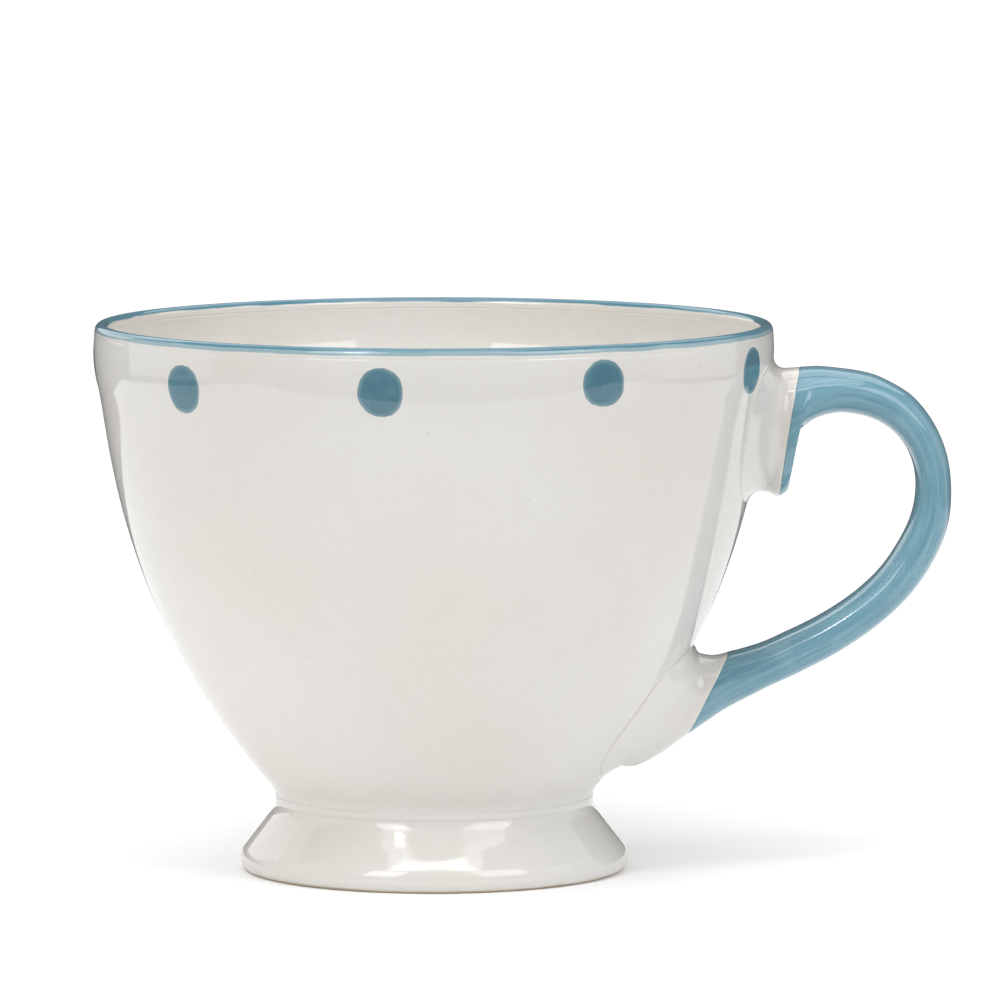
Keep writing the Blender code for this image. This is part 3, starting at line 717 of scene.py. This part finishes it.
def dot_material():
    """A dab of blue: dark in the middle, mottled, thin at its edge where the cream shows."""
    n = Nodes("dabbed_blue")
    across = n.math("SUBTRACT", n.part(n.uv, "X"), 0.5)
    up = n.math("SUBTRACT", n.part(n.uv, "Y"), 0.5)
    far = n.math("SQRT", n.math("ADD", n.math("MULTIPLY", across, across), n.math("MULTIPLY", up, up)))
    far = n.math("ADD", far, n.ramp(n.noise(330.0, 3.0), 0.2, 0.8, -0.02, 0.02))
    cloud = n.noise(240.0, 4.0, 0.6)
    tone = n.mix(n.ramp(cloud, 0.35, 0.70), DOT_DEEP, DOT_MID)
    tone = n.mix(n.ramp(far, 0.36, 0.44, 0.0, 0.45), tone, DOT_EDGE)
    tone = n.mix(n.ramp(far, 0.435, 0.485), tone, cream_color(n))
    return n.finish(tone, 0.06, n.bump(n.noise(420.0, 2.0), 0.0001, 0.10))


def rim_material():
    """Blue on the lip, thinned to a pale wash on the outside just under its edge."""
    n = Nodes("rim_blue")
    height = n.part(n.place, "Z")
    ragged = n.math("ADD", height, n.ramp(n.noise(90.0, 2.0), 0.3, 0.7, -0.00010, 0.00010))
    outside = n.ramp(n.part(n.uv, "Y"), 0.55, 0.75)
    foot = n.math("SUBTRACT", RIM_FOOT, n.math("MULTIPLY", outside, 0.00050))
    over = n.ramp(n.math("SUBTRACT", ragged, foot), -0.00014, 0.00014)
    wash = n.mix(n.noise(200.0, 3.0), RIM_WASH, RIM_WASH_PALE)
    deep = n.mix(n.noise(200.0, 3.0), RIM_DEEP, RIM_DEEP_PALE)
    thick = n.ramp(ragged, RIM_FOOT, RIM_THICK)
    tone = n.mix(n.math("MAXIMUM", thick, n.math("SUBTRACT", 1.0, outside)), wash, deep)
    tone = n.mix(over, cream_color(n), tone)
    return n.finish(tone, 0.06, n.bump(n.noise(300.0, 2.0), 0.0002, 0.06))


# ---------------------------------------------------------------- stage

# name, azimuth from the camera's side (+ to the right), elevation, distance, width, height, power
LIGHTS = [
    ("softbox_left", -33, 38, 1.05, 0.37, 0.66, 3.8),
    ("softbox_right", 45, 36, 1.05, 0.52, 0.66, 4.1),
    ("key", -29, 40, 1.30, 0.16, 0.16, 1.6),
    ("bar", 0, 66, 1.10, 0.75, 0.06, 0.7),
    ("top", 0, 84, 1.15, 0.90, 0.90, 5.8),
    ("side_left", -100, 15, 1.20, 1.00, 1.00, 2.3),
    ("side_right", 100, 15, 1.20, 1.00, 1.00, 2.2),
    ("back_left", -145, 25, 1.20, 0.80, 0.80, 2.4),
    ("back_top", 180, 50, 1.20, 1.40, 0.80, 4.8),
]


FLOOR_HALF_WIDTH = 0.45
FLOOR_FRONT = -0.26
FLOOR_BACK = 0.32
FLOOR_GLOW = 0.06
AIM_HEIGHT = 0.05                 # height on the cup that the lights point at
SKY_SEEN = 1.1                    # white backdrop, as the camera sees it
SKY_LIGHT = 0.10                  # the light that it gives
CAMERA_ASIDE = 12.1 * MM
CAMERA_DISTANCE = 1.5
CAMERA_HEIGHT = 213.2 * MM
CAMERA_DOWN = math.radians(5.6433)
CAMERA_LENS = 305.45


def floor_material():
    """White paper."""
    n = Nodes("white_paper")
    tone = n.mix(n.noise(3.0), (0.945, 0.945, 0.945), (0.955, 0.955, 0.955))
    n.link((1.0, 1.0, 1.0), n.shader.inputs["Emission Color"])
    n.link(FLOOR_GLOW, n.shader.inputs["Emission Strength"])
    return n.finish(tone, 0.9, n.bump(n.noise(50.0), 0.0001, 0.05))


def add_light(name, location, target, width, height, power):
    """Soft rectangular light that the camera can't see."""
    data = bpy.data.lights.new(name, "AREA")
    data.shape = "RECTANGLE"
    data.size = width
    data.size_y = height
    data.energy = power
    light = bpy.data.objects.new(name, data)
    bpy.context.scene.collection.objects.link(light)
    light.location = location
    aim = np.array(target, float) - np.array(location, float)
    light.rotation_euler = Vector(aim).to_track_quat("-Z", "Y").to_euler()
    light.visible_camera = False


def around(azimuth, elevation, distance):
    """Point seen from the cup in a direction: azimuth from the camera's side, + to the right."""
    a = math.radians(azimuth)
    e = math.radians(elevation)
    return (AXIS_X + distance * math.sin(a) * math.cos(e), -distance * math.cos(a) * math.cos(e),
            AIM_HEIGHT + distance * math.sin(e))


def build_floor():
    """Sheet of white paper under the cup."""
    mesh = bpy.data.meshes.new("floor")
    corners = [(-FLOOR_HALF_WIDTH, FLOOR_FRONT, 0), (FLOOR_HALF_WIDTH, FLOOR_FRONT, 0),
               (FLOOR_HALF_WIDTH, FLOOR_BACK, 0), (-FLOOR_HALF_WIDTH, FLOOR_BACK, 0)]
    mesh.from_pydata(corners, [], [(0, 1, 2, 3)])
    floor = bpy.data.objects.new("floor", mesh)
    mesh.materials.append(floor_material())
    bpy.context.scene.collection.objects.link(floor)


def white_background(tree, strength):
    """Background shader of the world at a strength."""
    node = tree.nodes.new("ShaderNodeBackground")
    node.inputs["Color"].default_value = (1, 1, 1, 1)
    node.inputs["Strength"].default_value = strength
    return node


def build_world():
    """White backdrop that gives the cup only a little light."""
    world = bpy.data.worlds.new("studio")
    world.use_nodes = True
    bpy.context.scene.world = world
    tree = world.node_tree
    tree.nodes.clear()
    out = tree.nodes.new("ShaderNodeOutputWorld")
    seen = white_background(tree, SKY_SEEN)
    lit = white_background(tree, SKY_LIGHT)
    path = tree.nodes.new("ShaderNodeLightPath")
    mix = tree.nodes.new("ShaderNodeMixShader")
    tree.links.new(path.outputs["Is Camera Ray"], mix.inputs["Fac"])
    tree.links.new(lit.outputs["Background"], mix.inputs[1])
    tree.links.new(seen.outputs["Background"], mix.inputs[2])
    tree.links.new(mix.outputs["Shader"], out.inputs["Surface"])


def build_stage():
    """Floor, backdrop and lights of the studio."""
    bpy.context.scene.view_settings.view_transform = "Standard"
    build_floor()
    build_world()
    centre = (AXIS_X, 0.0, AIM_HEIGHT)
    for name, azimuth, elevation, distance, width, height, power in LIGHTS:
        add_light(name, around(azimuth, elevation, distance), centre, width, height, power)


def build_camera():
    """Camera in front of the cup and a little above it, far away behind a long lens."""
    camera_data = bpy.data.cameras.new("camera")
    camera = bpy.data.objects.new("camera", camera_data)
    bpy.context.scene.collection.objects.link(camera)
    camera.location = (AXIS_X + CAMERA_ASIDE, -CAMERA_DISTANCE, CAMERA_HEIGHT)
    camera.rotation_euler = (math.radians(90) - CAMERA_DOWN, 0.0, 0.0)
    camera_data.lens = CAMERA_LENS
    camera_data.sensor_width = 36.0
    camera_data.clip_start = 0.01
    bpy.context.scene.camera = camera


# ---------------------------------------------------------------- the cup

cream = cream_material("cream_glaze")
foot_cream = cream_material("foot_glaze", bare_foot=True)
blue = blue_material()
mesh_piece("bowl_body", turned_loops(bowl_profile()), False, "bowl", cream)
mesh_piece("foot", turned_loops(foot_profile()), True, "pedestal_foot", foot_cream)
mesh_piece("waist_seam", turned_loops(seam_profile()), True, "foot_slip_seam", cream)
band, across = rim_band_profile()
mesh_piece("rim_band", turned_loops(band), True, "rim_glaze_band", rim_material(),
           [[(i / TURN_STEPS, v) for i in range(TURN_STEPS)] for v in across])
ear_pieces(cream, blue)
root_flare("upper_flare", "upper_slip_fillet", True, 4.6 * MM, 12.5 * MM, 2.1 * MM, 0.15, 78, cream)
root_flare("lower_flare", "lower_slip_fillet", False, 6.5 * MM, 13.0 * MM, 2.0 * MM, -0.2, 70, cream)
dabs = dot_material()
for i, (turn, rise) in enumerate(DOT_STRAYS):
    angle = math.radians((i + 0.5) * 360.0 / DOT_COUNT + turn)
    dot_piece(i + 1, angle, CUP_HEIGHT - DOT_DROP + rise * MM, dabs)
build_stage()
build_camera()
